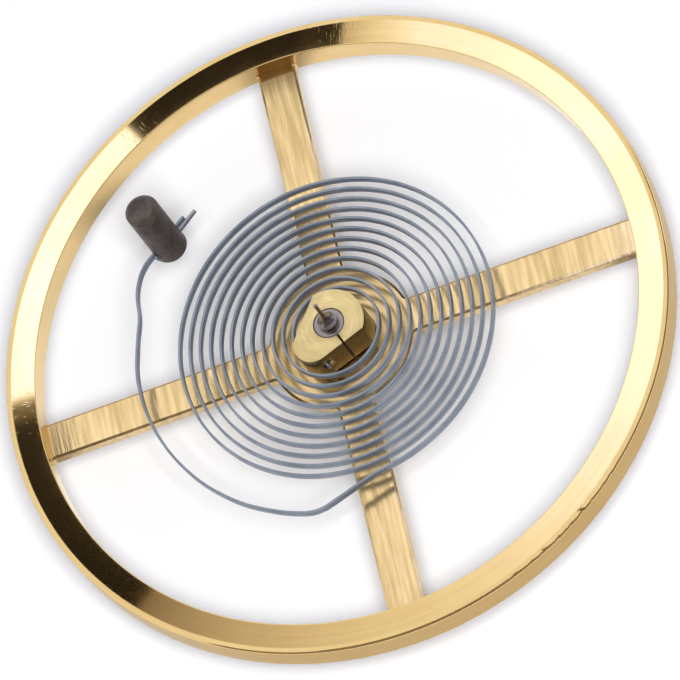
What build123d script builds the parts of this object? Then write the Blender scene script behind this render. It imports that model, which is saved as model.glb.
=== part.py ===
from build123d import *
from math import acos, atan2, cos, degrees, pi, radians, sin, sqrt, tan
import os

# A balance wheel for a pocket watch, complete with staff, rollers, collet, hairspring and stud.
# The origin is the tip of the lower pivot, +Z runs up the staff, and the arms lie along X and Y.
# All lengths are in millimetres.

# Wheel: rim, arms and hub are one piece of brass
rim_diameter = 17.0
rim_width = 0.77
rim_height = 0.72
rim_bevel_width = 0.13
rim_bevel_drop = 0.045
rim_under_bevel = 0.05
arm_count = 4
arm_width = 0.96
arm_thickness = 0.28
arm_bevel = 0.07
arm_root_fillet = 0.12
hub_diameter = 3.7

# Staff, from the lower tip upwards
pivot_diameter = 0.10
pivot_tip_break = 0.015
lower_pivot_length = 0.40
lower_cone_length = 0.32
roller_seat_diameter = 0.60
roller_seat_length = 0.99
flange_diameter = 1.70
flange_thickness = 0.22
balance_seat_diameter = 1.10
rivet_diameter = 1.24
rivet_height = 0.05
collet_seat_diameter = 0.80
staff_edge_break = 0.03
neck_diameter = 0.50
neck_length = 0.12
upper_cone_length = 0.40
upper_pivot_length = 0.54

# Collet: a split ring with two flats that meet at a rounded lobe, where the strip is pinned
collet_diameter = 1.80
collet_height = 0.90
collet_flat_distance = 0.684
collet_lobe_radius = 0.50
collet_lobe_circle_radius = 0.63
collet_lobe_angle = 217.5
collet_slit_width = 0.06
collet_edge_break = 0.03

# Hairspring: one flat strip, wound clockwise outwards from the collet
strip_height = 0.20
strip_thickness = 0.0625
strip_level_on_collet = 0.49
coil_inner_radius = 1.03
coil_outer_radius = 4.125
coil_turns = 11.69
coil_lead_out = 0.40
inner_bend_radius = 0.43
strip_inner_stand_out = 0.05
stud_circle_radius = 5.24
stud_angle = 132.5
stud_hole_heading = 37.0
stud_lead_in = 0.46
# the outer end: angle round the staff, and share of the way from the coil to the stud's circle
outer_end_shares = [
    (252.5, 0.68), (243, 0.695), (230, 0.735), (216, 0.76), (202, 0.79), (188, 0.845),
    (174, 0.87), (162, 0.83), (156, 0.845), (149, 1.09),
]
bend_share = 0.45

# Where the strip is pinned, in the collet and in the stud
pin_hole_diameter = 0.28
strip_offset_in_hole = 0.055
pin_clearance = 0.005
pin_taper_share = 0.7
collet_hole_distance = 0.76
collet_pin_stand_out = 0.06
strip_end_stand_out = 0.30
stud_pin_stand_out = 0.60
stud_pin_head_stand_out = 0.05

# Stud: a round post that widens a little towards its foot, which the cross hole goes through
stud_post_diameter = 0.86
stud_foot_diameter = 0.90
stud_above_strip = 2.00
stud_below_strip = 0.33
stud_foot_above_hole = 0.06
stud_edge_break = 0.12

# Rollers and jewel
impulse_roller_diameter = 2.90
impulse_roller_thickness = 0.22
roller_hub_diameter = 0.84
roller_hub_height = 0.30
safety_roller_diameter = 1.56
safety_roller_thickness = 0.25
passing_hollow_radius = 0.26
passing_hollow_circle_radius = 0.90
jewel_circle_radius = 1.12
jewel_diameter = 0.32
jewel_flat_share = 0.35
jewel_length = 0.72
jewel_angle = 135.0
roller_edge_break = 0.03

# One overrun for every cut
cut_overrun = 0.5

# Levels and radii that follow from the sizes above
rim_radius = rim_diameter / 2
rim_inner_radius = rim_radius - rim_width
hub_radius = hub_diameter / 2
pivot_radius = pivot_diameter / 2
roller_seat_radius = roller_seat_diameter / 2
balance_seat_radius = balance_seat_diameter / 2
collet_seat_radius = collet_seat_diameter / 2
level_lower_cone = lower_pivot_length
level_roller_seat = level_lower_cone + lower_cone_length
level_flange = level_roller_seat + roller_seat_length
level_wheel = level_flange + flange_thickness
level_hub_top = level_wheel + arm_thickness
level_collet = level_hub_top + rivet_height
level_collet_top = level_collet + collet_height
level_neck_top = level_collet_top + neck_length
level_upper_pivot = level_neck_top + upper_cone_length
level_top = level_upper_pivot + upper_pivot_length
level_strip = level_collet + strip_level_on_collet
coil_pitch = (coil_outer_radius - coil_inner_radius) / coil_turns
pin_hole_radius = pin_hole_diameter / 2
strip_face_in_hole = strip_offset_in_hole - strip_thickness / 2
pin_diameter = pin_hole_radius + strip_face_in_hole - pin_clearance
pin_offset_in_hole = pin_diameter / 2 - pin_hole_radius


def polar(radius, angle):
    return Vector(radius * cos(radians(angle)), radius * sin(radians(angle)))


def turned(points):
    """A solid turned round the staff's axis from an outline of (radius, height) points."""
    outline = Polyline([(r, z) for r, z in points], close=True)
    return revolve(Plane.XZ * make_face(outline), Axis.Z)


def balance_wheel():
    sector = 360 / arm_count
    plate_radius = rim_radius - rim_width / 2
    gap = Circle(rim_inner_radius) - Circle(hub_radius)
    reach = rim_radius + cut_overrun
    gap &= Polygon((0, 0), (reach, 0), (reach, reach * tan(radians(sector / 2))),
                   polar(reach, sector), align=None)
    for side in (0, sector):
        gap -= Rot(0, 0, side) * Rectangle(2 * reach, arm_width)
    gap = fillet(gap.vertices(), arm_root_fillet)
    plate = extrude(Circle(plate_radius) - PolarLocations(0, arm_count) * gap, arm_thickness)
    rims = plate.faces().sort_by(Axis.Z)[-1].inner_wires()
    plate = chamfer([edge for wire in rims for edge in wire.edges()], arm_bevel)
    rim = turned([
        (rim_inner_radius, 0),
        (rim_radius - rim_under_bevel, 0),
        (rim_radius, rim_under_bevel),
        (rim_radius, rim_height - rim_bevel_drop),
        (rim_radius - rim_bevel_width, rim_height),
        (rim_inner_radius, rim_height),
    ])
    bore = extrude(Circle(balance_seat_radius), arm_thickness)
    return Pos(0, 0, level_wheel) * (plate + rim - bore)


def balance_staff():
    flange_radius = flange_diameter / 2
    rivet_radius = rivet_diameter / 2
    neck_radius = neck_diameter / 2
    with BuildPart() as staff:
        with BuildSketch(Plane.XZ):
            with BuildLine():
                lower = Polyline(
                    (pivot_radius, level_lower_cone),
                    (pivot_radius, pivot_tip_break),
                    (pivot_radius - pivot_tip_break, 0),
                    (0, 0),
                    (0, level_top),
                    (pivot_radius - pivot_tip_break, level_top),
                    (pivot_radius, level_top - pivot_tip_break),
                    (pivot_radius, level_upper_pivot),
                )
                TangentArc((pivot_radius, level_upper_pivot), (neck_radius, level_neck_top),
                           tangent=(0, -1))
                Polyline(
                    (neck_radius, level_neck_top),
                    (neck_radius, level_collet_top),
                    (collet_seat_radius - staff_edge_break, level_collet_top),
                    (collet_seat_radius, level_collet_top - staff_edge_break),
                    (collet_seat_radius, level_collet),
                    (rivet_radius, level_collet),
                    (rivet_radius, level_hub_top),
                    (balance_seat_radius, level_hub_top),
                    (balance_seat_radius, level_wheel),
                    (flange_radius, level_wheel),
                    (flange_radius, level_flange + staff_edge_break),
                    (flange_radius - staff_edge_break, level_flange),
                    (roller_seat_radius, level_flange),
                    (roller_seat_radius, level_roller_seat),
                )
                TangentArc(lower @ 0, (roller_seat_radius, level_roller_seat), tangent=(0, 1))
            make_face()
        revolve(axis=Axis.Z)
    return staff.part


def along_collet_hole(offset):
    """The collet's cross hole: its middle, moved outwards from the staff, and its direction."""
    middle = polar(collet_hole_distance + offset, collet_lobe_angle)
    return middle, polar(1, collet_lobe_angle + 90)


def collet():
    # the flats touch the lobe's circle, so its size and place set the angle between them
    spread = degrees(acos((collet_flat_distance - collet_lobe_radius) / collet_lobe_circle_radius))
    lobe_centre = polar(collet_lobe_circle_radius, collet_lobe_angle)
    outer_radius = collet_diameter / 2
    corner_turn = degrees(acos(collet_flat_distance / outer_radius))
    flats = [collet_lobe_angle - spread, collet_lobe_angle + spread]
    corners = [polar(outer_radius, flats[0] - corner_turn), polar(outer_radius, flats[1] + corner_turn)]
    touches = [lobe_centre + polar(collet_lobe_radius, angle) for angle in flats]
    lobe_tip = lobe_centre + polar(collet_lobe_radius, collet_lobe_angle)
    outline = [
        ThreePointArc(corners[1], polar(outer_radius, collet_lobe_angle + 180), corners[0]),
        Line(corners[0], touches[0]),
        ThreePointArc(touches[0], lobe_tip, touches[1]),
        Line(touches[1], corners[1]),
    ]
    body = extrude(make_face(outline), collet_height)
    body = chamfer(body.faces().sort_by(Axis.Z)[-1].outer_wire().edges(), collet_edge_break)
    body -= extrude(Circle(collet_seat_radius), collet_height)
    slit_length = outer_radius + cut_overrun
    slit = Rot(0, 0, flats[1]) * Pos(slit_length / 2, 0) * Rectangle(slit_length, collet_slit_width)
    body -= extrude(slit, collet_height)
    middle, direction = along_collet_hole(0)
    hole_plane = Plane(middle + Vector(0, 0, strip_level_on_collet), z_dir=direction)
    body -= extrude(hole_plane * Circle(pin_hole_radius), outer_radius + cut_overrun, both=True)
    return Pos(0, 0, level_collet) * body


def strip_path():
    """The strip's middle line, from its end in the collet to its end past the stud."""
    # the strip leaves the collet straight, and one tight bend brings it onto the coil
    bend_out = collet_hole_distance + strip_offset_in_hole - inner_bend_radius
    bend_side = sqrt((coil_inner_radius - inner_bend_radius) ** 2 - bend_out ** 2)
    bend_angle = degrees(atan2(bend_side, bend_out))
    middle, direction = along_collet_hole(strip_offset_in_hole)
    inner_end = middle + direction * (collet_lobe_radius + strip_inner_stand_out)
    runs = [Line(inner_end, middle - direction * bend_side)]
    runs.append(JernArc(runs[-1] @ 1, runs[-1] % 1, inner_bend_radius, -bend_angle))
    # half turns, whose centres lie a quarter of the pitch to either side of the staff's axis
    half_turns = 2 * coil_turns
    for turn in range(int(half_turns) + 1):
        radius = coil_inner_radius + coil_pitch / 4 + turn * coil_pitch / 2
        sweep_angle = 180 * min(1, half_turns - turn)
        if sweep_angle > 0:
            runs.append(JernArc(runs[-1] @ 1, runs[-1] % 1, radius, -sweep_angle))
    coil_end, coil_heading = runs[-1] @ 1, runs[-1] % 1
    stud_middle = polar(stud_circle_radius, stud_angle)
    stud_middle += polar(strip_offset_in_hole, stud_hole_heading + 90)
    stud_direction = polar(1, stud_hole_heading)
    stud_radius = stud_foot_diameter / 2
    room = stud_circle_radius - coil_outer_radius
    points = [coil_end, coil_end + coil_heading * coil_lead_out]
    points += [polar(coil_outer_radius + share * room, angle) for angle, share in outer_end_shares]
    points.append(stud_middle - stud_direction * (stud_radius + stud_lead_in))
    points.append(stud_middle + stud_direction * (stud_radius + strip_end_stand_out))
    radii = [bend_radius(*points[i:i + 3]) for i in range(len(points) - 2)]
    runs.append(FilletPolyline(*points, radius=radii))
    return Pos(0, 0, level_strip) * Wire([edge for run in runs for edge in run.edges()])


def bend_radius(before, corner, after):
    """The radius of a corner's arc, which takes bend_share of the shorter run on either side."""
    first, second = corner - before, after - corner
    half_turn = radians(first.get_angle(second)) / 2
    return bend_share * min(first.length, second.length) / tan(half_turn)


def hairspring():
    path = strip_path()
    start = Plane(path @ 0, x_dir=(0, 0, 1), z_dir=path % 0)
    strip = sweep(start * Rectangle(strip_height, strip_thickness), path=path)
    print_strip(path, strip)
    return strip


def print_strip(path, strip):
    """Prints the strip's length, its volume beside section times length, and its least gap to itself."""
    steps = int(path.length / strip_height)
    step = path.length / steps
    points = [path @ (i / steps) for i in range(steps + 1)]
    apart = int(coil_inner_radius * pi / step)
    gap = min((points[i] - points[j]).length
              for i in range(len(points)) for j in range(i + apart, len(points))) - strip_thickness
    print(f"strip length {path.length:.1f} mm, volume {strip.volume:.4f} mm3,",
          f"section times length {path.length * strip_height * strip_thickness:.4f} mm3,",
          f"pitch {coil_pitch:.3f} mm, least gap to itself {gap:.3f} mm")


def taper_pin(head, direction, length):
    """A round pin that narrows from its head to its tip."""
    radius = pin_diameter / 2
    face = Plane(head, z_dir=direction)
    return loft([face * Circle(radius), face.offset(length) * Circle(radius * pin_taper_share)])


def collet_pin():
    middle, direction = along_collet_hole(pin_offset_in_hole)
    head = middle + direction * (collet_lobe_radius + collet_pin_stand_out) + Vector(0, 0, level_strip)
    return taper_pin(head, -direction, 2 * collet_lobe_radius + collet_pin_stand_out)


def stud():
    post_radius = stud_post_diameter / 2
    foot_radius = stud_foot_diameter / 2
    height = stud_above_strip + stud_below_strip
    body = turned([
        (0, 0),
        (foot_radius - stud_edge_break, 0),
        (foot_radius, stud_edge_break),
        (post_radius, stud_below_strip + pin_hole_radius + stud_foot_above_hole),
        (post_radius, height - stud_edge_break),
        (post_radius - stud_edge_break, height),
        (0, height),
    ])
    hole_plane = Plane((0, 0, stud_below_strip), z_dir=polar(1, stud_hole_heading))
    body -= extrude(hole_plane * Circle(pin_hole_radius), foot_radius + cut_overrun, both=True)
    return Pos(polar(stud_circle_radius, stud_angle)) * Pos(0, 0, level_strip - stud_below_strip) * body


def stud_pin():
    direction = polar(1, stud_hole_heading)
    middle = polar(stud_circle_radius, stud_angle) + polar(pin_offset_in_hole, stud_hole_heading + 90)
    head = middle - direction * (stud_foot_diameter / 2 + stud_pin_head_stand_out)
    length = stud_foot_diameter + stud_pin_head_stand_out + stud_pin_stand_out
    return taper_pin(head + Vector(0, 0, level_strip), direction, length)


def jewel_outline():
    """The jewel's D section; its flat side faces away from the staff."""
    radius = jewel_diameter / 2
    cut = Pos(radius * (2 - jewel_flat_share), 0) * Rectangle(2 * radius, 2 * jewel_diameter)
    return Pos(polar(jewel_circle_radius, jewel_angle)) * Rot(0, 0, jewel_angle) * (Circle(radius) - cut)


def impulse_jewel():
    return Pos(0, 0, level_flange - jewel_length) * extrude(jewel_outline(), jewel_length)


def impulse_roller():
    outer_radius = impulse_roller_diameter / 2
    disc_level = level_flange - impulse_roller_thickness
    hub_level = disc_level - roller_hub_height
    body = turned([
        (roller_seat_radius, hub_level),
        (roller_hub_diameter / 2, hub_level),
        (roller_hub_diameter / 2, disc_level),
        (outer_radius - roller_edge_break, disc_level),
        (outer_radius, disc_level + roller_edge_break),
        (outer_radius, level_flange - roller_edge_break),
        (outer_radius - roller_edge_break, level_flange),
        (roller_seat_radius, level_flange),
    ])
    return body - Pos(0, 0, disc_level) * extrude(jewel_outline(), impulse_roller_thickness)


def safety_roller():
    level = level_flange - impulse_roller_thickness - roller_hub_height - safety_roller_thickness
    outline = Circle(safety_roller_diameter / 2) - Circle(roller_seat_radius)
    outline -= Pos(polar(passing_hollow_circle_radius, jewel_angle)) * Circle(passing_hollow_radius)
    return Pos(0, 0, level) * extrude(outline, safety_roller_thickness)


def main():
    os.makedirs("parts", exist_ok=True)
    pieces = [balance_wheel, balance_staff, collet, collet_pin, hairspring, stud, stud_pin,
              impulse_roller, safety_roller, impulse_jewel]
    for piece in pieces:
        export_step(piece(), f"parts/{piece.__name__}.step")


main()
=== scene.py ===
# %% [markdown]
# # A balance wheel, dressed for its picture
#
# The balance is the part of a watch that swings to and fro and counts the seconds. It is a
# brass wheel on a thin steel staff, with a blued steel hairspring above it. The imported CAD
# model gives the frame and the joint, and this script builds finer meshes of nearly the same
# sizes, with materials and light. One Blender unit is a metre, and this object is only 17 mm
# wide, so pieces are modelled in millimetres and scaled down when they are finished.

# %% Load the frame
from math import acos, atan2, cos, degrees, pi, radians, sin, sqrt, tan

import bmesh
import bpy
from mathutils import Matrix, Vector
from mathutils.noise import noise as noise_at


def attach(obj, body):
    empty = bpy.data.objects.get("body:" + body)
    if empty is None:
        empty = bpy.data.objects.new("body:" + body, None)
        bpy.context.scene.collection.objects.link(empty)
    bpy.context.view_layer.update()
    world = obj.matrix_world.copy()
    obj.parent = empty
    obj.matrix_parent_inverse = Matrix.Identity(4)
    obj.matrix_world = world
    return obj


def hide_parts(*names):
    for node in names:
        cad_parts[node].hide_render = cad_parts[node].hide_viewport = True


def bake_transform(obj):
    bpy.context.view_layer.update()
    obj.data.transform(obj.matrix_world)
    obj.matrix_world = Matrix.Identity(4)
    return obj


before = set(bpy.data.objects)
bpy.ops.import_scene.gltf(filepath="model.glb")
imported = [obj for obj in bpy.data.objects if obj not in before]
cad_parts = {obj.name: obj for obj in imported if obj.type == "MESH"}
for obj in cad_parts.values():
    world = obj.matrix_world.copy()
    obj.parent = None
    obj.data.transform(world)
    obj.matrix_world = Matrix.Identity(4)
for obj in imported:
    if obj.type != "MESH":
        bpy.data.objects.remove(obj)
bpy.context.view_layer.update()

MM = 0.001
scene = bpy.context.scene

# %% [markdown]
# ## The camera
#
# The photograph was taken from high above with a long lens, so lines that are parallel on
# the wheel stay almost parallel. The place below was worked out from the outline of the rim.
# A camera in Blender looks along its own -Z, so its matrix is built from three directions:
# right, up and back.

# %% Camera
CAMERA_AZIMUTH = 21.136
CAMERA_ELEVATION = 59.258
CAMERA_ROLL = 37.936
CAMERA_DISTANCE = 447.55
CAMERA_AIM = Vector((0.066, -0.269, 2.65))
CAMERA_LENS = 974.6


def view_directions():
    """Right, up and back of a camera that stands at those angles and is rolled."""
    azimuth, elevation = radians(CAMERA_AZIMUTH), radians(CAMERA_ELEVATION)
    back = Vector((sin(azimuth) * cos(elevation), -cos(azimuth) * cos(elevation), sin(elevation)))
    level_up = (Vector((0, 0, 1)) - back * back.z).normalized()
    level_right = level_up.cross(back)
    roll = radians(CAMERA_ROLL)
    up = level_up * cos(roll) + level_right * sin(roll)
    return up.cross(back), up, back


right, up, back = view_directions()
camera = bpy.data.objects.new("camera", bpy.data.cameras.new("camera"))
camera.data.sensor_width = 36
camera.data.lens = CAMERA_LENS
camera.data.clip_start = 0.01
camera.data.clip_end = 10
camera.matrix_world = Matrix.Translation((CAMERA_AIM + back * CAMERA_DISTANCE) * MM) @ Matrix(
    (right, up, back)).transposed().to_4x4()
scene.collection.objects.link(camera)
scene.camera = camera
scene.view_settings.view_transform = "Standard"
print("camera back:", [round(x, 4) for x in back], "lens:", camera.data.lens)

# %% [markdown]
# ## Tools for the meshes
#
# Nearly every piece of a watch is turned on a lathe, so one helper spins an outline round
# the staff's axis. Real edges are never quite sharp: a second helper rounds each corner of an
# outline, and sets one more point on either side so that the flats stay flat when shaded.

# %% Outline helpers
CORNER_STEPS = 4
FLAT_CORNER = radians(12)
REACH_SHARE = 0.38
FLAT_POINT_SHARE = 1.25
TRUMPET_STEPS = 14


def rounded(outline, radius, closed=False):
    """The outline with each corner rounded, and a point on either side of it."""
    points = [Vector(p) for p in outline]
    smooth = []
    for i, corner in enumerate(points):
        if not closed and i in (0, len(points) - 1):
            smooth.append(corner)
            continue
        before = points[i - 1] - corner
        after = points[(i + 1) % len(points)] - corner
        opening = before.angle(after)
        if pi - opening < FLAT_CORNER:
            smooth.append(corner)
            continue
        reach = min(radius / tan(opening / 2), REACH_SHARE * before.length, REACH_SHARE * after.length)
        start = corner + before.normalized() * reach
        end = corner + after.normalized() * reach
        smooth.append(corner + before.normalized() * reach * FLAT_POINT_SHARE)
        for step in range(CORNER_STEPS + 1):
            t = step / CORNER_STEPS
            smooth.append(start * (1 - t) ** 2 + corner * 2 * t * (1 - t) + end * t * t)
        smooth.append(corner + after.normalized() * reach * FLAT_POINT_SHARE)
    return smooth


def trumpet(start, end):
    """An arc in an outline that leaves the start straight up or down and opens to the end."""
    (x0, z0), (x1, z1) = start, end
    radius = ((x1 - x0) ** 2 + (z1 - z0) ** 2) / (2 * (x1 - x0))
    sweep = atan2(abs(z1 - z0), x0 + radius - x1)
    side = 1 if z1 > z0 else -1
    turns = [sweep * i / TRUMPET_STEPS for i in range(1, TRUMPET_STEPS + 1)]
    return [(x0 + radius - radius * cos(turn), z0 + side * radius * sin(turn)) for turn in turns]


print("corner steps:", CORNER_STEPS)

# %% Mesh helpers
SMOOTH_ANGLE = radians(32)
MERGE_DISTANCE = 1e-5
TURNED_STEPS = 192


def new_object(name, points, faces):
    """A mesh object in millimetres."""
    mesh = bpy.data.meshes.new(name)
    mesh.from_pydata([tuple(p) for p in points], [], faces)
    obj = bpy.data.objects.new(name, mesh)
    scene.collection.objects.link(obj)
    return obj


def tidy(obj):
    """Merges doubles, drops faces with no area, and points every face outwards."""
    mesh = bmesh.new()
    mesh.from_mesh(obj.data)
    bmesh.ops.remove_doubles(mesh, verts=mesh.verts, dist=MERGE_DISTANCE)
    bmesh.ops.dissolve_degenerate(mesh, edges=mesh.edges, dist=MERGE_DISTANCE)
    bmesh.ops.recalc_face_normals(mesh, faces=mesh.faces)
    mesh.to_mesh(obj.data)
    mesh.free()
    return obj


def walls(low, high, count):
    """The faces between two rings of point numbers, either of which may be a single point."""
    faces = []
    for i in range(count):
        j = (i + 1) % count
        corners = [low[i % len(low)], low[j % len(low)], high[j % len(high)], high[i % len(high)]]
        faces.append(list(dict.fromkeys(corners)))
    return [face for face in faces if len(face) > 2]


def turned(name, outline, steps=TURNED_STEPS, closed=False):
    """Spins an outline of (radius, height) points round the Z axis."""
    points, rings = [], []
    for radius, height in outline:
        count = steps if radius > MERGE_DISTANCE else 1
        rings.append([len(points) + i for i in range(count)])
        points += [(radius * cos(2 * pi * i / steps), radius * sin(2 * pi * i / steps), height)
                   for i in range(count)]
    pairs = list(zip(rings, rings[1:])) + ([(rings[-1], rings[0])] if closed else [])
    return tidy(new_object(name, points, [f for low, high in pairs for f in walls(low, high, steps)]))


def settled(obj):
    """The object with its modifiers made part of its mesh."""
    graph = bpy.context.evaluated_depsgraph_get()
    mesh = bpy.data.meshes.new_from_object(obj.evaluated_get(graph))
    obj.modifiers.clear()
    obj.data = mesh
    return obj


def combined(obj, other, operation):
    """Joins another closed mesh to this one, or cuts it away, and removes the other."""
    modifier = obj.modifiers.new(operation, "BOOLEAN")
    modifier.operation = operation
    modifier.solver = "EXACT"
    modifier.object = other
    settled(obj)
    bpy.data.objects.remove(other)
    return obj


def in_metres(obj):
    """Scales a piece from millimetres, shades it smooth but for its sharp edges, and prints it."""
    obj.data.transform(Matrix.Scale(MM, 4))
    obj.data.shade_smooth()
    obj.data.set_sharp_from_angle(angle=SMOOTH_ANGLE)
    low, high = ([round(end(v.co[i] for v in obj.data.vertices) / MM, 3) for i in range(3)]
                 for end in (min, max))
    print(obj.name, "faces:", len(obj.data.polygons), "from", low, "to", high)


def finished(obj, material, body, slot, *nodes):
    """Gives a piece its scale, its finish and its body, and hides the CAD nodes it stands for."""
    in_metres(tidy(obj))
    obj.data.materials.clear()
    obj.data.materials.append(material)
    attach(obj, body)
    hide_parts(*nodes)


print("smooth below:", round(degrees(SMOOTH_ANGLE)), "degrees")

# %% [markdown]
# ## Tools for the materials
#
# Every finish here is metal or ruby, and what makes metal look real is how it was worked:
# turned, brushed, drawn or polished. Each finish is a small node tree. The pattern reads the
# object's own coordinates, so it stays on the piece from every side. A stretched noise makes
# brush marks, and the same noise moves the roughness and a very small bump.

# %% Material helpers
NOISE_ROUGHNESS = 0.55
BUMP_STRENGTH = 0.6
NOISE_MIDDLE = (0.3, 0.7)


class Graph:
    """The nodes of a material or a world, with a short call for each kind that is used here."""

    def __init__(self, owner):
        owner.use_nodes = True
        self.nodes, self.link = owner.node_tree.nodes, owner.node_tree.links.new

    def put(self, node, inputs):
        """Fills inputs: with a value, an output of another node, or a node for its first output."""
        for label, value in dict(inputs).items():
            if isinstance(value, bpy.types.Node):
                value = value.outputs[0]
            if isinstance(value, bpy.types.NodeSocket):
                self.link(value, node.inputs[label])
            else:
                node.inputs[label].default_value = value

    def node(self, kind, inputs=(), **settings):
        made = self.nodes.new(kind)
        for key, value in settings.items():
            setattr(made, key, value)
        self.put(made, inputs)
        return made

    def place(self, scale=(1, 1, 1)):
        """Object coordinates, scaled. A scale of 1000 makes one unit a millimetre."""
        spot = self.node("ShaderNodeTexCoord").outputs["Object"]
        return self.node("ShaderNodeMapping", {"Vector": spot, "Scale": scale})

    def noise(self, vector, detail=3.0):
        return self.node("ShaderNodeTexNoise", {"Vector": vector, "Scale": 1, "Detail": detail,
                                                "Roughness": NOISE_ROUGHNESS})

    def spread(self, value, low, high, start=NOISE_MIDDLE[0], end=NOISE_MIDDLE[1]):
        """Maps a value from one range to another and clamps it."""
        return self.node("ShaderNodeMapRange", {"Value": value, "From Min": start, "From Max": end,
                                                "To Min": low, "To Max": high})

    def tinted(self, factor, first, second):
        """A colour between two others."""
        mix = self.node("ShaderNodeMix", {"Factor": factor, "A": (*first, 1), "B": (*second, 1)},
                        data_type="RGBA")
        return mix.outputs["Result"]

    def bumped(self, height, distance, normal=None):
        """A bump of that depth in metres, on top of another if one is given."""
        under = {"Normal": normal} if normal else {}
        return self.node("ShaderNodeBump", {"Height": height, "Distance": distance,
                                            "Strength": BUMP_STRENGTH, **under})

    def math(self, operation, *values):
        return self.node("ShaderNodeMath", enumerate(values), operation=operation)


def shader(name, colour, roughness, metallic=1.0, anisotropy=0.0):
    """A material with its graph, its Principled shader and the constants of a finish."""
    material = bpy.data.materials.new(name)
    graph = Graph(material)
    principled = graph.nodes["Principled BSDF"]
    graph.put(principled, {"Base Color": (*colour, 1), "Roughness": roughness, "Metallic": metallic,
                           "Anisotropic": anisotropy})
    return material, graph, principled


print("middle range of a noise:", NOISE_MIDDLE)

# %% [markdown]
# ## The floor, the background and the light
#
# The picture is a product shot on plain white. The world is white, at a strength of 1, where
# the camera, a reflection or glass looks at it, and dimmer for the light that spreads. The
# floor is a real white surface, so it keeps the soft shadow of the wheel and the spring.

# %% Floor and world
WORLD_LIGHT = 0.34
WORLD_TINT = (0.97, 0.98, 1.1)
FLOOR_HALF_SIDE = 400
FLOOR_COLOUR = (0.96, 0.96, 0.96)
FLOOR_ROUGHNESS = 0.9


def seen_directly(graph):
    """1 for a ray from the camera, a reflection or glass, and 0 for the light that spreads."""
    path = graph.node("ShaderNodeLightPath").outputs
    seen = path["Is Camera Ray"]
    for other in ("Is Glossy Ray", "Is Transmission Ray"):
        seen = graph.math("MAXIMUM", seen, path[other])
    return graph.math("MULTIPLY", seen, graph.math("LESS_THAN", path["Diffuse Depth"], 0.5))


def make_world():
    world = bpy.data.worlds.new("studio")
    graph = Graph(world)
    white = graph.nodes["Background"]
    graph.put(white, {"Color": (1, 1, 1, 1)})
    lit = graph.node("ShaderNodeBackground", {"Color": (*WORLD_TINT, 1), "Strength": WORLD_LIGHT})
    surface = graph.node("ShaderNodeMixShader", {0: seen_directly(graph), 1: lit, 2: white})
    graph.put(graph.nodes["World Output"], {"Surface": surface})
    return world


def make_floor():
    side = FLOOR_HALF_SIDE
    floor = new_object("floor", [(-side, -side, 0), (side, -side, 0), (side, side, 0), (-side, side, 0)],
                       [(0, 1, 2, 3)])
    floor.data.transform(Matrix.Scale(MM, 4))
    material, graph, principled = shader("floor_white", FLOOR_COLOUR, FLOOR_ROUGHNESS, metallic=0)
    graph.put(principled, {"Specular IOR Level": 0})
    floor.data.materials.append(material)


scene.world = make_world()
make_floor()
print("floor side:", 2 * FLOOR_HALF_SIDE, "mm")

# %% [markdown]
# Polished metal has no look of its own: it shows what stands round it. One soft lamp stands
# where the flat faces mirror it. Another lights the floor along the camera's own line, so the
# wheel hides most of its shadow and the spring's shows between the coils. The rim is a mirror, so
# a ring of card over it gives it its bright and dark stretches, as white cards and black
# flags do in a real studio. Only reflections see the cards, and the place of the ring and of
# the edge card follows from the camera. No card is made for the arms or the spring.

# %% Lamps and cards
FLAT_MIRROR = Vector((-back.x, -back.y, back.z))
WHEEL_MIDDLE = Vector((0, 0, 2))
LAMP_DISTANCE = 300
KEY_SIZE = 90
KEY_RADIANCE = 0.35
OVERHEAD_SIZE = 80
OVERHEAD_RADIANCE = 40.5
CARD_COLOURS = ((0, (1.08, 0.88, 0.70)), (0.5, (1.0, 1.0, 1.0)), (0.8, (0.86, 0.95, 1.34)))
CARD_FULL = 2
SQUARE_CARD_DISTANCE = 200
RIM_TOP = 2.65
RIM_CARD_RADII = (7.55, 9.3)
RIM_CARD_DISTANCE = 5
RIM_CARD_STEPS = 8
EDGE_CARD_RADIUS = 8.48
EDGE_CARD_DISTANCE = 25
EDGE_CARD_STEP = 4
FLOOR_CARD_LEVEL = 0.03
FLOOR_CARD_STEPS = 96
RIM_LIGHT = [
    (62, 1.5), (76.2, 0.66), (76.3, 0.03), (83, 0.04), (84, 0.02), (112, 0.02), (117, 0.04),
    (117.3, 0.5), (118, 1.9), (150, 2.2), (170.8, 2.1), (172, 0.6), (173.2, 0.12), (174.5, 0.2),
    (176.5, 0.03), (217, 0.02), (219.8, 0.03), (221, 0.28), (231, 0.46), (255, 0.82), (269, 0.94),
    (289, 1.14), (310, 1.45), (330, 1.75), (345, 1.9), (400, 1.9), (422, 1.5),
]


def lamp(name, direction, size, radiance):
    """A square soft lamp that looks at the wheel; its radiance is the brightness of its face."""
    data = bpy.data.lights.new(name, "AREA")
    data.shape = "SQUARE"
    data.size = size * MM
    data.energy = radiance * pi * (size * MM) ** 2
    light = bpy.data.objects.new(name, data)
    away = direction.normalized()
    light.location = (away * LAMP_DISTANCE + WHEEL_MIDDLE) * MM
    light.rotation_mode = "QUATERNION"
    light.rotation_quaternion = away.to_track_quat("Z", "Y")
    scene.collection.objects.link(light)
    print(name, "energy:", round(data.energy, 4))
    return light


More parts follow.
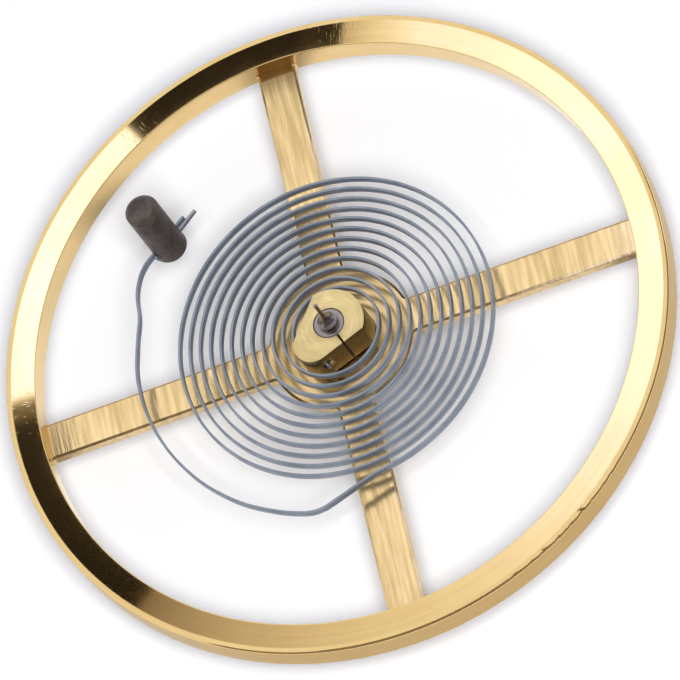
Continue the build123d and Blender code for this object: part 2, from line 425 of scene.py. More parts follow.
def card(name, points, faces, glow):
    """A card that only reflections see, with a brightness at each of its points."""
    obj = new_object(name, points, faces)
    obj.data.transform(Matrix.Scale(MM, 4))
    obj.data.attributes.new("glow", "FLOAT", "POINT").data.foreach_set("value", glow)
    material = bpy.data.materials.new(name)
    graph = Graph(material)
    brightness = graph.node("ShaderNodeAttribute", attribute_name="glow").outputs["Fac"]
    tint = graph.node("ShaderNodeValToRGB", {"Fac": graph.spread(brightness, 0, 1, 0, CARD_FULL)})
    tint.color_ramp.elements.new(CARD_COLOURS[1][0])
    for stop, (place, colour) in zip(tint.color_ramp.elements, CARD_COLOURS):
        stop.position, stop.color = place, (*colour, 1)
    strength = graph.math("MULTIPLY", brightness, seen_directly(graph))
    light = graph.node("ShaderNodeEmission", {"Color": tint, "Strength": strength})
    graph.put(graph.nodes["Material Output"], {"Surface": light})
    obj.data.materials.append(material)
    obj.visible_camera = obj.visible_diffuse = obj.visible_shadow = obj.visible_transmission = False


def ribbon(count, closed=False):
    """The faces of a band whose points come in pairs, one on each side."""
    return [(i, i + 1, (i + 3) % count, (i + 2) % count) for i in range(0, count if closed else count - 2, 2)]


def mirrored(radius, angle, distance, tilt=0):
    """The place that the camera sees in the rim there, as in a mirror that may tilt outwards."""
    spot = Vector((radius * cos(angle), radius * sin(angle), RIM_TOP))
    ray = (spot - CAMERA_AIM - back * CAMERA_DISTANCE).normalized()
    normal = Vector((sin(tilt) * cos(angle), sin(tilt) * sin(angle), cos(tilt)))
    return spot + (ray - normal * 2 * ray.dot(normal)) * distance


def rim_card(name, stops):
    """A card whose mirror image covers the rim's flat top; stops are (angle, brightness)."""
    points, glow = [], []
    for (start, first), (end, last) in zip(stops, stops[1:]):
        for i in range(RIM_CARD_STEPS + 1):
            share = i / RIM_CARD_STEPS
            angle = radians(start + (end - start) * share)
            points += [mirrored(radius, angle, RIM_CARD_DISTANCE) for radius in RIM_CARD_RADII]
            glow += [first + (last - first) * share] * 2
    card(name, points, ribbon(len(points)), glow)


def edge_card(name, start, end, tilts, brightness):
    """A dark card that the rounded outer edge of the rim mirrors, as one thin line."""
    steps = int(end - start) // EDGE_CARD_STEP
    angles = [radians(start + (end - start) * i / steps) for i in range(steps + 1)]
    points = [mirrored(EDGE_CARD_RADIUS, angle, EDGE_CARD_DISTANCE, radians(tilt))
              for angle in angles for tilt in tilts]
    card(name, points, ribbon(len(points)), [brightness] * len(points))


def floor_card(name, inner, outer, brightness):
    """A grey ring just over the floor, which darkens what the rim's outer wall mirrors."""
    turns = [2 * pi * i / FLOOR_CARD_STEPS for i in range(FLOOR_CARD_STEPS)]
    points = [(r * cos(a), r * sin(a), FLOOR_CARD_LEVEL) for a in turns for r in (inner, outer)]
    card(name, points, ribbon(len(points), closed=True), [brightness] * len(points))


def square_card(name, azimuth, elevation, width, height, brightness):
    """A card far from the wheel that faces it."""
    azimuth, elevation = radians(azimuth), radians(elevation)
    away = Vector((cos(azimuth) * cos(elevation), sin(azimuth) * cos(elevation), sin(elevation)))
    aside = away.cross(Vector((0, 0, 1))).normalized()
    above = aside.cross(away)
    middle = away * SQUARE_CARD_DISTANCE + WHEEL_MIDDLE
    corners = [middle + aside * width / 2 * a + above * height / 2 * b
               for a, b in ((-1, -1), (1, -1), (1, 1), (-1, 1))]
    card(name, corners, [(0, 1, 2, 3)], [brightness] * 4)


lamp("key_lamp", FLAT_MIRROR, KEY_SIZE, KEY_RADIANCE)
overhead = lamp("overhead_lamp", back, OVERHEAD_SIZE, OVERHEAD_RADIANCE)
overhead.visible_glossy = False
square_card("dark_card_front", azimuth=CAMERA_AZIMUTH - 90, elevation=28, width=260, height=130,
            brightness=0.4)
edge_card("edge_card", start=238, end=352, tilts=(24, 62), brightness=0.26)
square_card("dark_card_camera", azimuth=270, elevation=59, width=170, height=140, brightness=0.2)
square_card("dark_card_side", azimuth=36, elevation=36, width=80, height=80, brightness=0.05)
rim_card("ring_card", RIM_LIGHT)
floor_card("floor_card", inner=8.7, outer=12.5, brightness=0.66)

# %% [markdown]
# ## The wheel
#
# The rim, the four arms and the hub are one piece of brass. The rim is turned, so it comes
# from the lathe helper, and it gets small dents as in the photograph. The four arms repeat,
# which is work for Geometry Nodes: one quarter of the plate is made as a mesh, with its arm
# halves, its rounded window and its bevel, and the node tree turns copies of it round the
# staff and merges them where they meet.

# %% Sizes of the wheel
RIM_RADIUS = 8.5
RIM_INNER_RADIUS = 7.73
RIM_HEIGHT = 0.72
RIM_CROWN_WIDTH = 0.18
RIM_CROWN_TILT = radians(20)
RIM_UNDER_BEVEL = 0.05
RIM_STEPS = 720
CROWN_STEPS = 3
RIM_EDGE_SOFTNESS = 0.07
RIM_EDGE_STEPS = 7
NICKED_ANGLES = (287, 318)
NICK_DEPTH = 0.085
NICK_FREQUENCY = 90
NICK_NOISE_PLACE = (0.4, 0.7)
NICK_NOISE_LIFT = 0.02
NICK_REACH = 0.09
NICK_DROP = 0.14
ARM_COUNT = 4
ARM_HALF_WIDTH = 0.48
ARM_THICKNESS = 0.28
ARM_BEVEL = 0.06
ARM_BEVEL_DROP = 0.035
ARM_FILLET = 0.12
ARM_FLAT_LEAD = 0.06
ARM_UNDERSIDE = 0.004
ARM_MERGE = 0.0005
HUB_RADIUS = 1.85
BALANCE_SEAT_RADIUS = 0.55
LEVEL_WHEEL = 1.93
PLATE_REACH = 0.03
RIM_SEAM = 0.002
HUB_SEAM = 0.01
EDGE_SOFTNESS = 0.02
RIM_SIDE_STEPS = 32
FILLET_STEPS = 8
ARM_STEPS = 24
HUB_SIDE_STEPS = 16


def arc(centre, radius, start, end, steps):
    """Points on an arc, angles in radians."""
    return [(centre[0] + radius * cos(start + (end - start) * i / steps),
             centre[1] + radius * sin(start + (end - start) * i / steps)) for i in range(steps + 1)]


def between(a, b, steps):
    """Points from a to b in equal steps, without a itself."""
    return [(a[0] + (b[0] - a[0]) * i / steps, a[1] + (b[1] - a[1]) * i / steps) for i in range(1, steps + 1)]


def window_corners(grown):
    """The middles of a window's fillets, at rim and hub, their angles, and its radii."""
    lift = ARM_HALF_WIDTH + ARM_FILLET
    fillet = ARM_FILLET + grown
    outer, inner = RIM_INNER_RADIUS + PLATE_REACH + grown, HUB_RADIUS - grown
    far = (sqrt((outer - fillet) ** 2 - lift ** 2), lift)
    near = (sqrt((inner + fillet) ** 2 - lift ** 2), lift)
    return far, near, atan2(far[1], far[0]), atan2(near[1], near[0]), outer, inner, fillet


def window_half(grown):
    """Half of a window's outline, from the middle of its rim side to the middle of its hub side."""
    far, near, far_angle, near_angle, outer, inner, fillet = window_corners(grown)
    side = far[1] - fillet
    return (arc((0, 0), outer, pi / 4, far_angle, RIM_SIDE_STEPS)
            + arc(far, fillet, far_angle, -pi / 2, FILLET_STEPS)[1:]
            + between((far[0], side), (near[0], side), ARM_STEPS)
            + arc(near, fillet, -pi / 2, near_angle - pi, FILLET_STEPS)[1:]
            + arc((0, 0), inner, near_angle, pi / 4, HUB_SIDE_STEPS)[1:])


def border_half():
    """Half the border of a quarter plate, with one point for each point of the window."""
    far, near, far_angle, near_angle = window_corners(0)[:4]
    reach, corner_steps = (RIM_RADIUS + RIM_INNER_RADIUS) / 2, FILLET_STEPS // 2
    return (arc((0, 0), reach, pi / 4, far_angle, RIM_SIDE_STEPS)
            + arc((0, 0), reach, far_angle, 0, corner_steps)[1:]
            + between((reach, 0), (far[0], 0), corner_steps)
            + between((far[0], 0), (near[0], 0), ARM_STEPS)
            + between((near[0], 0), (BALANCE_SEAT_RADIUS, 0), corner_steps)
            + arc((0, 0), BALANCE_SEAT_RADIUS, 0, near_angle, corner_steps)[1:]
            + arc((0, 0), BALANCE_SEAT_RADIUS, near_angle, pi / 4, HUB_SIDE_STEPS)[1:])


def both_halves(half):
    """A half outline and its mirror image about the quarter's diagonal, as one ring."""
    return half + [(y, x) for x, y in reversed(half[1:-1])]


print("points round a window:", len(both_halves(window_half(0))), len(both_halves(border_half())))

# %% A helper for Geometry Nodes


class Tree(Graph):
    """A Geometry Nodes tree: named inputs, and a material at its end."""

    def __init__(self, name, **inputs):
        self.group = bpy.data.node_groups.new(name, "GeometryNodeTree")
        self.nodes, self.link = self.group.nodes, self.group.links.new
        face = self.group.interface
        face.new_socket("Geometry", in_out="INPUT", socket_type="NodeSocketGeometry")
        for label, value in inputs.items():
            kind = "NodeSocketInt" if isinstance(value, int) else "NodeSocketFloat"
            face.new_socket(label, in_out="INPUT", socket_type=kind).default_value = value
        face.new_socket("Material", in_out="INPUT", socket_type="NodeSocketMaterial")
        face.new_socket("Geometry", in_out="OUTPUT", socket_type="NodeSocketGeometry")
        self.values = inputs
        self.given = self.node("NodeGroupInput").outputs

    def end(self, geometry):
        """Realizes instances, sets the material and closes the tree."""
        realize = self.node("GeometryNodeRealizeInstances", {"Geometry": geometry})
        paint = self.node("GeometryNodeSetMaterial",
                          {"Geometry": realize, "Material": self.given["Material"]})
        self.node("NodeGroupOutput", {"Geometry": paint})
        return self

    def run(self, obj, material):
        """Puts the tree on an object, gives every input its value, and settles the mesh."""
        modifier = obj.modifiers.new(self.group.name, "NODES")
        modifier.node_group = self.group
        values = {**self.values, "Material": material}
        for socket in self.group.interface.items_tree:
            if socket.in_out == "INPUT" and socket.name in values:
                modifier[socket.identifier] = values[socket.name]
        return settled(obj)


print("tree helper ready")

# %% [markdown]
# ### Brass for the wheel
#
# The rim and the hub were turned, so their marks run round the staff. The arms were grained in
# one straight direction, so the marks run across two of the arms and along the other two,
# and light plays on the two pairs in two ways. Turned marks need a place that follows the
# circle, made here from the distance to the staff and the direction.

# %% Turned and grained marks


def turned_place(graph, across, along, centre=(0, 0)):
    """A vector for marks round an upright axis: fine across the marks, and long along them."""
    parts = graph.node("ShaderNodeSeparateXYZ", {0: graph.place()}).outputs
    x = graph.math("SUBTRACT", parts["X"], centre[0] * MM)
    y = graph.math("SUBTRACT", parts["Y"], centre[1] * MM)
    squares = graph.math("ADD", graph.math("MULTIPLY", x, x), graph.math("MULTIPLY", y, y))
    radius = graph.math("MAXIMUM", graph.math("SQRT", squares), LEAST_RADIUS * MM)
    profile = graph.math("SUBTRACT", radius, parts["Z"])
    vector = {"X": graph.math("MULTIPLY", profile, across / MM)}
    for value, socket in ((x, "Y"), (y, "Z")):
        vector[socket] = graph.math("MULTIPLY", graph.math("DIVIDE", value, radius), along)
    return graph.node("ShaderNodeCombineXYZ", vector)


def metal(name, light, dark, roughness, marks, depth, anisotropy=0.0, stain=0.6, ticks=None, metallic=1.0,
          grain_share=0.5):
    """A metal whose marks, a vector, move its colour, its roughness and a fine bump.

    The grain share says how much of the colour follows the marks, and the rest is soft stains.
    Ticks, if given, are a vector for sparse short scratches on top.
    """
    material, graph, principled = shader(name, light, roughness[0], metallic, anisotropy)
    grain = graph.noise(marks(graph), detail=4)
    cloud = graph.noise(graph.place((stain / MM,) * 3), detail=2)
    both = graph.math("ADD", graph.math("MULTIPLY", grain, grain_share),
                      graph.math("MULTIPLY", cloud, 1 - grain_share))
    normal = graph.bumped(grain, depth * MM)
    if ticks:
        scratch = graph.spread(graph.noise(ticks(graph), detail=2), 0, 1, *TICK_RANGE)
        normal = graph.bumped(scratch, TICK_DEPTH * MM, normal)
    graph.put(principled, {"Base Color": graph.tinted(graph.spread(both, 0, 1, *TINT_RANGE), light, dark),
                           "Roughness": graph.spread(both, *roughness), "Normal": normal})
    if anisotropy:
        tangent = graph.node("ShaderNodeTangent", direction_type="RADIAL", axis="Z")
        graph.put(principled, {"Tangent": tangent})
    return material


LEAST_RADIUS = 0.001
TINT_RANGE = (0.38, 0.62)
TICK_RANGE = (0.62, 0.72)
TICK_DEPTH = 0.001
rim_brass = metal("rim_brass", (0.86, 0.63, 0.29), (0.80, 0.565, 0.245), (0.07, 0.12),
                  lambda g: turned_place(g, 14, 2.5), 0.0006, ticks=lambda g: turned_place(g, 5, 170))
arm_brass = metal("arm_brass", (0.79, 0.582, 0.31), (0.575, 0.413, 0.195), (0.16, 0.26),
                  lambda g: g.place((8 / MM, 0.6 / MM, 8 / MM)), 0.013, grain_share=0.8)
# The hub's brass is darker than the rim's and the arms': painted shade, where the collet and the spring stand
# over the hub.
hub_brass_painted_shade = metal("hub_brass_painted_shade", (0.72, 0.525, 0.275), (0.50, 0.35, 0.16), (0.16, 0.28),
                  lambda g: turned_place(g, 6, 1.2), 0.012)
print("brass:", rim_brass.name, arm_brass.name, hub_brass_painted_shade.name)

# %% One quarter of the plate


def window_levels():
    """How far the window has grown, and at what height, up its rounded wall and bevel."""
    top = ARM_THICKNESS
    return rounded([(ARM_FLAT_LEAD, 0), (0, 0), (0, top - ARM_BEVEL_DROP), (ARM_BEVEL, top),
                    (ARM_BEVEL + ARM_FLAT_LEAD, top)], EDGE_SOFTNESS)


def quarter_plate():
    """Arm halves and hub quarter round one window, from the underside to the top."""
    border = both_halves(border_half())
    under = ARM_UNDERSIDE
    loops = [[(x, y, under) for x, y in border]]
    loops += [[(x, y, max(z, under)) for x, y in both_halves(window_half(grown))]
              for grown, z in window_levels()]
    loops.append([(x, y, ARM_THICKNESS) for x, y in border])
    count = len(border)
    rings = [range(row * count, (row + 1) * count) for row in range(len(loops))]
    faces = [face for low, high in zip(rings, rings[1:]) for face in walls(low, high, count)]
    last = rings[-1][0]
    for i in range(count):
        j = (i + 1) % count
        on_seam = any(max(abs(border[i][k]), abs(border[j][k])) < MERGE_DISTANCE for k in (0, 1))
        if not on_seam:
            faces.append((i, last + i, last + j, j))
    return new_object("balance_wheel_brass", [p for loop in loops for p in loop], faces)


quarter = quarter_plate()
print("quarter plate faces:", len(quarter.data.polygons))

# %% Four quarters by Geometry Nodes


def quarters_tree():
    tree = Tree("arms_round_the_staff", Arms=ARM_COUNT, Merge=ARM_MERGE)
    given = tree.given
    points = tree.node("GeometryNodePoints", {"Count": given["Arms"]})
    step = tree.math("DIVIDE", 2 * pi, given["Arms"])
    angle = tree.math("MULTIPLY", tree.node("GeometryNodeInputIndex"), step)
    turn = tree.node("ShaderNodeCombineXYZ", {"Z": angle})
    place = tree.node("GeometryNodeInstanceOnPoints",
                      {"Points": points, "Instance": given["Geometry"], "Rotation": turn})
    realize = tree.node("GeometryNodeRealizeInstances", {"Geometry": place})
    return tree.end(tree.node("GeometryNodeMergeByDistance",
                              {"Geometry": realize, "Distance": given["Merge"]}))


wheel = tidy(quarters_tree().run(quarter, arm_brass))
print("plate faces:", len(wheel.data.polygons))

# %% The rim, and the whole wheel


def rim_ring():
    """The rim: a flat top, a crown that leans more and more, a round edge, and an upright wall."""
    soft, flat_end = RIM_EDGE_SOFTNESS, RIM_RADIUS - RIM_CROWN_WIDTH
    crown = (RIM_CROWN_WIDTH - soft + soft * sin(RIM_CROWN_TILT)) / sin(RIM_CROWN_TILT)
    edge_middle = RIM_HEIGHT - crown * (1 - cos(RIM_CROWN_TILT)) - soft * cos(RIM_CROWN_TILT)
    edge = arc((RIM_RADIUS - soft, edge_middle), soft, 0, pi / 2 - RIM_CROWN_TILT, RIM_EDGE_STEPS)
    top = arc((flat_end, RIM_HEIGHT - crown), crown, pi / 2, pi / 2 - RIM_CROWN_TILT, CROWN_STEPS)
    edge += reversed(top[:-1])
    outline = [(RIM_INNER_RADIUS, 0), (RIM_RADIUS - RIM_UNDER_BEVEL, 0), (RIM_RADIUS, RIM_UNDER_BEVEL)]
    outline += edge + [(RIM_INNER_RADIUS, RIM_HEIGHT)]
    return turned("rim_ring", rounded(outline, EDGE_SOFTNESS, closed=True), steps=RIM_STEPS, closed=True)


def nicked(ring):
    """Small dents along one stretch of the outer top edge, where the rim was knocked."""
    first, last = (radians(angle) for angle in NICKED_ANGLES)
    for v in ring.data.vertices:
        angle, radius = atan2(v.co.y, v.co.x) % (2 * pi), sqrt(v.co.x ** 2 + v.co.y ** 2)
        at_edge = radius > RIM_RADIUS - NICK_REACH and v.co.z > RIM_HEIGHT - NICK_DROP
        if at_edge and first < angle < last:
            fade = sin(pi * (angle - first) / (last - first))
            level = noise_at((angle * NICK_FREQUENCY, *NICK_NOISE_PLACE)) + NICK_NOISE_LIFT
            dent = max(0, level) * NICK_DEPTH * fade
            v.co -= Vector((v.co.x, v.co.y, 0)) / radius * dent + Vector((0, 0, dent / 2))
    return ring


def by_region(obj, material, inner, outer):
    """Gives the faces between two distances from the staff a material of their own."""
    obj.data.materials.append(material)
    for face in obj.data.polygons:
        middle = Vector(face.center) / MM
        if inner < sqrt(middle.x ** 2 + middle.y ** 2) < outer:
            face.material_index = len(obj.data.materials) - 1


combined(wheel, nicked(rim_ring()), "UNION")
wheel.data.transform(Matrix.Translation((0, 0, LEVEL_WHEEL)))
finished(wheel, arm_brass, "balance", "wheel_brass", "balance_wheel")
by_region(wheel, rim_brass, RIM_INNER_RADIUS - RIM_SEAM, 2 * RIM_RADIUS)
# The hub takes the darker brass, which is painted shade under the collet and the spring.
by_region(wheel, hub_brass_painted_shade, 0, HUB_RADIUS + HUB_SEAM)

# %% [markdown]
# ## The staff
#
# The staff is one turned piece of hardened steel: a pivot at each end, no thicker than a hair,
# a cone behind each pivot, a flange that the wheel sits on, and seats for collet and rollers.
# An outline and the lathe helper make it. The cones curve like a trumpet's bell.

# %% Staff
PIVOT_RADIUS = 0.05
PIVOT_TIP_RADIUS = 0.035
PIVOT_TIP_DROP = 0.015
NECK_RADIUS = 0.25
RIVET_RADIUS = 0.62
FLANGE_RADIUS = 0.85
ROLLER_SEAT_RADIUS = 0.30
COLLET_SEAT_RADIUS = 0.40
STAFF_BEVEL = 0.03
STAFF_SOFTNESS = 0.012
COLLET_HEIGHT = 0.90
LEVEL_LOWER_PIVOT = 0.40
LEVEL_LOWER_CONE = 0.72
LEVEL_FLANGE = 1.71
LEVEL_HUB_TOP = LEVEL_WHEEL + ARM_THICKNESS
LEVEL_COLLET = 2.26
LEVEL_COLLET_TOP = LEVEL_COLLET + COLLET_HEIGHT
LEVEL_NECK_TOP = 3.28
LEVEL_UPPER_PIVOT = 3.68
LEVEL_TOP = 4.22

staff_steel = metal("staff_steel", (0.28, 0.25, 0.255), (0.23, 0.20, 0.205), (0.16, 0.3),
                    lambda g: turned_place(g, 30, 1.5), 0.0004)


def staff_outline():
    body = [(0, 0), (PIVOT_TIP_RADIUS, 0), (PIVOT_RADIUS, PIVOT_TIP_DROP), (PIVOT_RADIUS, LEVEL_LOWER_PIVOT)]
    body += trumpet((PIVOT_RADIUS, LEVEL_LOWER_PIVOT), (ROLLER_SEAT_RADIUS, LEVEL_LOWER_CONE))
    body += [(ROLLER_SEAT_RADIUS, LEVEL_FLANGE), (FLANGE_RADIUS - STAFF_BEVEL, LEVEL_FLANGE),
             (FLANGE_RADIUS, LEVEL_FLANGE + STAFF_BEVEL), (FLANGE_RADIUS, LEVEL_WHEEL),
             (BALANCE_SEAT_RADIUS, LEVEL_WHEEL), (BALANCE_SEAT_RADIUS, LEVEL_HUB_TOP),
             (RIVET_RADIUS, LEVEL_HUB_TOP), (RIVET_RADIUS, LEVEL_COLLET), (COLLET_SEAT_RADIUS, LEVEL_COLLET),
             (COLLET_SEAT_RADIUS, LEVEL_COLLET_TOP - STAFF_BEVEL),
             (COLLET_SEAT_RADIUS - STAFF_BEVEL, LEVEL_COLLET_TOP), (NECK_RADIUS, LEVEL_COLLET_TOP),
             (NECK_RADIUS, LEVEL_NECK_TOP)]
    body += reversed(trumpet((PIVOT_RADIUS, LEVEL_UPPER_PIVOT), (NECK_RADIUS, LEVEL_NECK_TOP))[:-1])
    body += [(PIVOT_RADIUS, LEVEL_UPPER_PIVOT), (PIVOT_RADIUS, LEVEL_TOP - PIVOT_TIP_DROP),
             (PIVOT_TIP_RADIUS, LEVEL_TOP), (0, LEVEL_TOP)]
    return rounded(body, STAFF_SOFTNESS)


finished(turned("balance_staff_steel", staff_outline()), staff_steel, "balance", "staff_steel",
         "balance_staff")

# %% [markdown]
# ## The collet
#
# The collet is a small split brass ring that grips the staff and holds the inner end of the
# spring. Two flats leave a rounded lobe between them, and the spring is pinned in a hole
# across that lobe. Its outline is a polygon of arcs and flats, pushed up to its height. The
# bore and the hole are cut from it, as the real ones are, then a narrow bevel breaks the edges,
# and the slit is cut last.

# %% Collet
COLLET_RADIUS = 0.90
FLAT_DISTANCE = 0.684
LOBE_RADIUS = 0.50
LOBE_CIRCLE_RADIUS = 0.63
LOBE_ANGLE = radians(217.5)
SLIT_WIDTH = 0.06
PIN_HOLE_RADIUS = 0.14
HOLE_DISTANCE = 0.76
LEVEL_STRIP = 2.75
CUT_OVERRUN = 0.5
HOLE_REACH = 2
BORE_START = 1
BORE_END = 5
HOLE_STEPS = 48
BORE_STEPS = 96
COLLET_ARC_STEPS = 72
LOBE_STEPS = 36
COLLET_BEVEL = 0.016
BEVEL_SEGMENTS = 3
BEVEL_ANGLE = radians(40)


def polar(radius, angle):
    return Vector((radius * cos(angle), radius * sin(angle), 0))


flat_spread = acos((FLAT_DISTANCE - LOBE_RADIUS) / LOBE_CIRCLE_RADIUS)
flat_angles = (LOBE_ANGLE - flat_spread, LOBE_ANGLE + flat_spread)


def collet_outline():
    corner_turn = acos(FLAT_DISTANCE / COLLET_RADIUS)
    first, last = flat_angles[1] + corner_turn, flat_angles[0] - corner_turn + 2 * pi
    lobe = polar(LOBE_CIRCLE_RADIUS, LOBE_ANGLE)
    return (arc((0, 0), COLLET_RADIUS, first, last, COLLET_ARC_STEPS)
            + arc(lobe, LOBE_RADIUS, *flat_angles, LOBE_STEPS))


def prism(name, outline, low, high):
    """An outline pushed up from one height to another."""
    count = len(outline)
    points = [(x, y, z) for z in (low, high) for x, y in outline]
    sides = walls(range(count), range(count, 2 * count), count)
    caps = [tuple(reversed(range(count))), tuple(range(count, 2 * count))]
    return tidy(new_object(name, points, sides + caps))


def rod(name, start, end, radius, end_radius=None, soft=0.0, steps=HOLE_STEPS):
    """A round rod between two points, with softened ends."""
    start, end = Vector(start), Vector(end)
    length = (end - start).length
    tip = radius if end_radius is None else end_radius
    outline = [(0, 0), (radius, 0), (tip, length), (0, length)]
    obj = turned(name, rounded(outline, soft) if soft else outline, steps=steps)
    turn = (end - start).to_track_quat("Z", "Y").to_matrix().to_4x4()
    obj.data.transform(Matrix.Translation(start) @ turn)
    return obj


def bevelled(obj, width):
    modifier = obj.modifiers.new("edge", "BEVEL")
    modifier.width = width
    modifier.segments = BEVEL_SEGMENTS
    modifier.limit_method = "ANGLE"
    modifier.angle_limit = BEVEL_ANGLE
    modifier.harden_normals = False
    return settled(obj)


def cross_hole(name, middle, along):
    return rod(name, middle - along * HOLE_REACH, middle + along * HOLE_REACH, PIN_HOLE_RADIUS)


def slit_box():
    across = polar(SLIT_WIDTH / 2, flat_angles[1] + pi / 2)
    outwards = polar(COLLET_RADIUS + CUT_OVERRUN, flat_angles[1])
    corners = [across, outwards + across, outwards - across, -across]
    return prism("slit", [(c.x, c.y) for c in corners], LEVEL_COLLET - CUT_OVERRUN,
                 LEVEL_COLLET_TOP + CUT_OVERRUN)


along_hole = polar(1, LOBE_ANGLE + pi / 2)
hole_middle = polar(HOLE_DISTANCE, LOBE_ANGLE) + Vector((0, 0, LEVEL_STRIP))


def collet_body():
    body = prism("collet_brass", collet_outline(), LEVEL_COLLET, LEVEL_COLLET_TOP)
    bore = rod("bore", (0, 0, BORE_START), (0, 0, BORE_END), COLLET_SEAT_RADIUS, steps=BORE_STEPS)
    combined(body, bore, "DIFFERENCE")
    combined(body, cross_hole("cross_hole", hole_middle, along_hole), "DIFFERENCE")
    return combined(bevelled(tidy(body), COLLET_BEVEL), slit_box(), "DIFFERENCE")


collet_brass = metal("collet_brass", (0.72, 0.58, 0.30), (0.60, 0.46, 0.215), (0.24, 0.34),
                     lambda g: turned_place(g, 16, 2), 0.0015)
finished(collet_body(), collet_brass, "balance", "collet_brass", "collet")

# %% [markdown]
# ## The hairspring
#
# The hairspring is one flat steel strip, 204 mm long and as thin as a hair, tempered until it
# turned blue-grey. It leaves the collet in a straight line, bends onto the coil, winds
# outwards for nearly twelve turns, and ends in the stud. Its middle line is a walk: straight
# runs and arcs, one after another, from the same sizes as the CAD model. Geometry Nodes then
# sweep a small rounded section along it, upright everywhere.

# %% The strip's sizes and its walk
STRIP_HEIGHT = 0.20
STRIP_THICKNESS = 0.0625
STRIP_CORNER = 0.009
STRIP_CORNER_STEPS = 2
STRIP_OFFSET = 0.055
INNER_END_STAND_OUT = 0.05
INNER_RUN_STEPS = 6
INNER_BEND_RADIUS = 0.43
COIL_INNER_RADIUS = 1.03
COIL_OUTER_RADIUS = 4.125
COIL_TURNS = 11.69
COIL_PITCH = (COIL_OUTER_RADIUS - COIL_INNER_RADIUS) / COIL_TURNS
COIL_LEAD_OUT = 0.40
ARC_STEP = radians(2.5)
STUD_CIRCLE_RADIUS = 5.24
STUD_ANGLE = radians(132.5)
STUD_HEADING = radians(37)
STUD_POST_RADIUS = 0.43
STUD_FOOT_RADIUS = 0.45
STUD_LEAD_IN = 0.46
STRIP_END_STAND_OUT = 0.30
BEND_SHARE = 0.45
OUTER_END = [
    (252.5, 0.68), (243, 0.695), (230, 0.735), (216, 0.76), (202, 0.79), (188, 0.845),
    (174, 0.87), (162, 0.83), (156, 0.845), (149, 1.09),
]


class Walk:
    """A line of points that goes straight or turns clockwise from where it stands."""

    def __init__(self, start, heading):
        self.points = [Vector(start)]
        self.heading = heading

    def straight(self, length, steps):
        start = self.points[-1]
        self.points += [start + polar(length * i / steps, self.heading) for i in range(1, steps + 1)]

    def clockwise(self, radius, sweep):
        centre = self.points[-1] + polar(radius, self.heading - pi / 2)
        steps = max(2, int(sweep / ARC_STEP))
        self.points += [centre + polar(radius, self.heading + pi / 2 - sweep * i / steps)
                        for i in range(1, steps + 1)]
        self.heading -= sweep

    def corners(self, corners):
        """Through these corners, each rounded by an arc that takes a share of its shorter run."""
        spots = [self.points[-1], *corners]
        for before, corner, after in zip(spots, spots[1:], spots[2:]):
            back_along, onwards = (before - corner), (after - corner)
            reach = BEND_SHARE * min(back_along.length, onwards.length)
            half = back_along.angle(onwards) / 2
            radius = reach * tan(half)
            inwards = (back_along.normalized() + onwards.normalized()).normalized()
            centre = corner + inwards * (radius / sin(half))
            first = corner + back_along.normalized() * reach - centre
            last = corner + onwards.normalized() * reach - centre
            sweep, axis = first.angle(last), first.cross(last).normalized()
            steps = max(4, int(sweep / ARC_STEP))
            self.points += [centre + Matrix.Rotation(sweep * i / steps, 3, axis) @ first
                            for i in range(steps + 1)]
        self.points.append(spots[-1])


def strip_points():
    bend_out = HOLE_DISTANCE + STRIP_OFFSET - INNER_BEND_RADIUS
    bend_side = sqrt((COIL_INNER_RADIUS - INNER_BEND_RADIUS) ** 2 - bend_out ** 2)
    middle = polar(HOLE_DISTANCE + STRIP_OFFSET, LOBE_ANGLE)
    inner_end = LOBE_RADIUS + INNER_END_STAND_OUT
    walk = Walk(middle + along_hole * inner_end, LOBE_ANGLE - pi / 2)
    walk.straight(inner_end + bend_side, INNER_RUN_STEPS)
    walk.clockwise(INNER_BEND_RADIUS, atan2(bend_side, bend_out))
    half_turns = 2 * COIL_TURNS
    for turn in range(int(half_turns) + 1):
        walk.clockwise(COIL_INNER_RADIUS + COIL_PITCH / 4 + turn * COIL_PITCH / 2,
                       pi * min(1, half_turns - turn))
    at_stud = polar(STUD_CIRCLE_RADIUS, STUD_ANGLE) + polar(STRIP_OFFSET, STUD_HEADING + pi / 2)
    room = STUD_CIRCLE_RADIUS - COIL_OUTER_RADIUS
    corners = [walk.points[-1] + polar(COIL_LEAD_OUT, walk.heading)]
    corners += [polar(COIL_OUTER_RADIUS + share * room, radians(angle)) for angle, share in OUTER_END]
    corners.append(at_stud - along_stud * (STUD_FOOT_RADIUS + STUD_LEAD_IN))
    corners.append(at_stud + along_stud * (STUD_FOOT_RADIUS + STRIP_END_STAND_OUT))
    walk.corners(corners)
    return [p + Vector((0, 0, LEVEL_STRIP)) for p in walk.points]


stud_middle = polar(STUD_CIRCLE_RADIUS, STUD_ANGLE) + Vector((0, 0, LEVEL_STRIP))
along_stud = polar(1, STUD_HEADING)
strip_line = strip_points()

# %% Blued steel
blued_steel = metal("blued_steel", (0.265, 0.30, 0.355), (0.19, 0.22, 0.265), (0.3, 0.42),
                    lambda g: g.place((2 / MM, 2 / MM, 40 / MM)), 0.0008, stain=1.5,
                    metallic=0.5)

# %% The strip by Geometry Nodes


